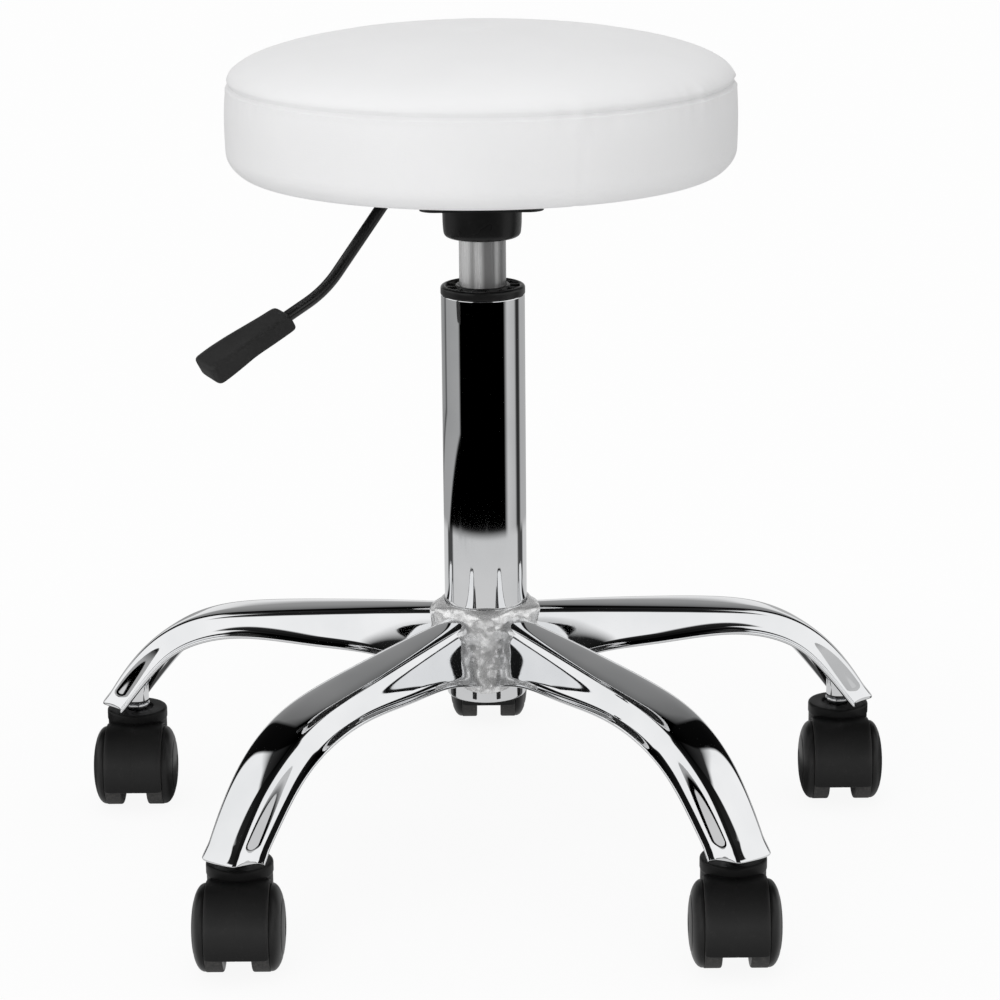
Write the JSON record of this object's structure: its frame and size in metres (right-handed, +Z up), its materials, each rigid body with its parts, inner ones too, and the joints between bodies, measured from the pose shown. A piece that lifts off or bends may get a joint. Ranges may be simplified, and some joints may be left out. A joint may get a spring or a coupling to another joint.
{
  "type": "rolling stylist stool",
  "caption": "Round padded stool on a chromed star base with twin-wheel casters, a gas-lift column and a hand lever for its height.",
  "frame": {"origin": "on the column's axis, at the level of the floor under the wheels", "axes": "+Z up along the column, +X to the right, -Y to the front, where two legs point"},
  "size_m": [0.5014, 0.4916, 0.499],
  "materials": {
    "chrome": "polished plating",
    "satin_steel": "satin, bright where it slides",
    "black_steel": "black powder coat",
    "black_nylon": "moulded, softly glossy",
    "grey_plastic": "fine moulded grain",
    "rubber": "matt",
    "plywood": "sanded",
    "foam": "open cell",
    "leatherette": "pale grey with a very fine grain"
  },
  "bodies": {
    "base": {"leg_front_right": "chrome", "stem_socket_front_right": "chrome", "caster_stem_front_right": "chrome", "leg_right": "chrome", "stem_socket_right": "chrome", "caster_stem_right": "chrome", "leg_rear": "chrome", "stem_socket_rear": "chrome", "caster_stem_rear": "chrome", "leg_left": "chrome", "stem_socket_left": "chrome", "caster_stem_left": "chrome", "leg_front_left": "chrome", "stem_socket_front_left": "chrome", "caster_stem_front_left": "chrome", "hub": "chrome", "column_tube": "chrome", "guide_bush": "black_nylon", "thrust_bearing": "satin_steel"},
    "gas_rod": {"piston_rod": "satin_steel", "thrust_washer": "satin_steel", "rubber_buffer": "rubber", "rod_clip": "satin_steel"},
    "seat": {"pressure_tube": "satin_steel", "lift_boot": "black_nylon", "taper_socket": "black_steel", "mechanism_housing": "black_steel", "lever_pivot_pin": "satin_steel", "mounting_plate": "black_steel", "seat_board": "plywood", "seat_foam": "foam", "seat_cover_band": "leatherette", "seat_cover_top": "leatherette", "seat_bolt_front_left": "satin_steel", "seat_bolt_front_right": "satin_steel", "seat_bolt_rear_left": "satin_steel", "seat_bolt_rear_right": "satin_steel"},
    "release_button": {"release_pin": "satin_steel"},
    "lever": {"lever_rod": "black_steel", "lever_grip": "grey_plastic"},
    "caster_front_right": {"caster_hood_front_right": "black_nylon", "caster_axle_front_right": "satin_steel"},
    "wheel_left_front_right": {"wheel_left_front_right": "black_nylon"},
    "wheel_right_front_right": {"wheel_right_front_right": "black_nylon"},
    "caster_right": {"caster_hood_right": "black_nylon", "caster_axle_right": "satin_steel"},
    "wheel_left_right": {"wheel_left_right": "black_nylon"},
    "wheel_right_right": {"wheel_right_right": "black_nylon"},
    "caster_rear": {"caster_hood_rear": "black_nylon", "caster_axle_rear": "satin_steel"},
    "wheel_left_rear": {"wheel_left_rear": "black_nylon"},
    "wheel_right_rear": {"wheel_right_rear": "black_nylon"},
    "caster_left": {"caster_hood_left": "black_nylon", "caster_axle_left": "satin_steel"},
    "wheel_left_left": {"wheel_left_left": "black_nylon"},
    "wheel_right_left": {"wheel_right_left": "black_nylon"},
    "caster_front_left": {"caster_hood_front_left": "black_nylon", "caster_axle_front_left": "satin_steel"},
    "wheel_left_front_left": {"wheel_left_front_left": "black_nylon"},
    "wheel_right_front_left": {"wheel_right_front_left": "black_nylon"}
  },
  "joints": [
    {"name": "seat_swivel", "type": "hinge", "parent": "base", "child": "gas_rod", "pos_m": [0, 0, 0.1053], "axis": [0, 0, 1], "continuous": true},
    {"name": "seat_lift", "type": "slide", "parent": "gas_rod", "child": "seat", "axis": [0, 0, 1], "range_m": [-0.022, 0.11]},
    {"name": "lever_pull", "type": "hinge", "parent": "seat", "child": "lever", "pos_m": [-0.02538, -0.01183, 0.4081], "axis": [-0.4226, 0.9063, 0], "range_deg": [0, 6], "stiffness_Nm_per_rad": 2, "springref_deg": -11.46},
    {"name": "release_press", "type": "slide", "parent": "seat", "child": "release_button", "axis": [0, 0, -1], "range_m": [0, 0.0032]},
    {"name": "swivel_front_right", "type": "hinge", "parent": "base", "child": "caster_front_right", "pos_m": [0.13872, -0.19093, 0.045], "axis": [0, 0, 1], "continuous": true},
    {"name": "spin_left_front_right", "type": "hinge", "parent": "caster_front_right", "child": "wheel_left_front_right", "pos_m": [0.13872, -0.20893, 0.025], "axis": [1, 0, 0], "continuous": true},
    {"name": "spin_right_front_right", "type": "hinge", "parent": "caster_front_right", "child": "wheel_right_front_right", "pos_m": [0.13872, -0.20893, 0.025], "axis": [1, 0, 0], "continuous": true},
    {"name": "swivel_right", "type": "hinge", "parent": "base", "child": "caster_right", "pos_m": [0.22445, 0.07293, 0.045], "axis": [0, 0, 1], "continuous": true},
    {"name": "spin_left_right", "type": "hinge", "parent": "caster_right", "child": "wheel_left_right", "pos_m": [0.22445, 0.05493, 0.025], "axis": [1, 0, 0], "continuous": true},
    {"name": "spin_right_right", "type": "hinge", "parent": "caster_right", "child": "wheel_right_right", "pos_m": [0.22445, 0.05493, 0.025], "axis": [1, 0, 0], "continuous": true},
    {"name": "swivel_rear", "type": "hinge", "parent": "base", "child": "caster_rear", "pos_m": [0, 0.236, 0.045], "axis": [0, 0, 1], "continuous": true},
    {"name": "spin_left_rear", "type": "hinge", "parent": "caster_rear", "child": "wheel_left_rear", "pos_m": [0, 0.218, 0.025], "axis": [1, 0, 0], "continuous": true},
    {"name": "spin_right_rear", "type": "hinge", "parent": "caster_rear", "child": "wheel_right_rear", "pos_m": [0, 0.218, 0.025], "axis": [1, 0, 0], "continuous": true},
    {"name": "swivel_left", "type": "hinge", "parent": "base", "child": "caster_left", "pos_m": [-0.22445, 0.07293, 0.045], "axis": [0, 0, 1], "continuous": true},
    {"name": "spin_left_left", "type": "hinge", "parent": "caster_left", "child": "wheel_left_left", "pos_m": [-0.22445, 0.05493, 0.025], "axis": [1, 0, 0], "continuous": true},
    {"name": "spin_right_left", "type": "hinge", "parent": "caster_left", "child": "wheel_right_left", "pos_m": [-0.22445, 0.05493, 0.025], "axis": [1, 0, 0], "continuous": true},
    {"name": "swivel_front_left", "type": "hinge", "parent": "base", "child": "caster_front_left", "pos_m": [-0.13872, -0.19093, 0.045], "axis": [0, 0, 1], "continuous": true},
    {"name": "spin_left_front_left", "type": "hinge", "parent": "caster_front_left", "child": "wheel_left_front_left", "pos_m": [-0.13872, -0.20893, 0.025], "axis": [1, 0, 0], "continuous": true},
    {"name": "spin_right_front_left", "type": "hinge", "parent": "caster_front_left", "child": "wheel_right_front_left", "pos_m": [-0.13872, -0.20893, 0.025], "axis": [1, 0, 0], "continuous": true}
  ],
  "couplings": [
    {"joint": "release_press", "follows": "lever_pull", "m_per_rad": 0.028}
  ]
}
